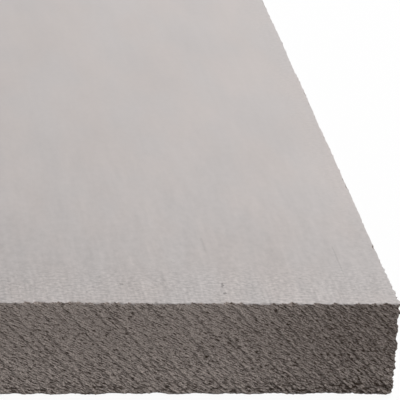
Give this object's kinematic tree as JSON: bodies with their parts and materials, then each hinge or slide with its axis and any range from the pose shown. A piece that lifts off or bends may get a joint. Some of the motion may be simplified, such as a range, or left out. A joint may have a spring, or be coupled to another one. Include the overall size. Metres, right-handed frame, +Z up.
{
  "type": "microporous insulation board",
  "caption": "Flat rectangular sheet of pressed microporous insulation, pale smooth faces, dark rough sawn edges, laid or bonded behind a hot lining.",
  "frame": {"origin": "middle of the underside, on the floor that the sheet lies on", "axes": "+X across the sheet's width, +Y along its length, +Z up through its thickness, from the underside to the top face"},
  "size_m": [0.61, 1, 0.025],
  "materials": {
    "pressed_powder": "matt pressed powder: smooth pale warm grey on the two pressed faces, rough darker brown-grey with slanting saw marks on the four sawn edges"
  },
  "bodies": {
    "root": {"insulation_board": "pressed_powder"}
  },
  "joints": []
}
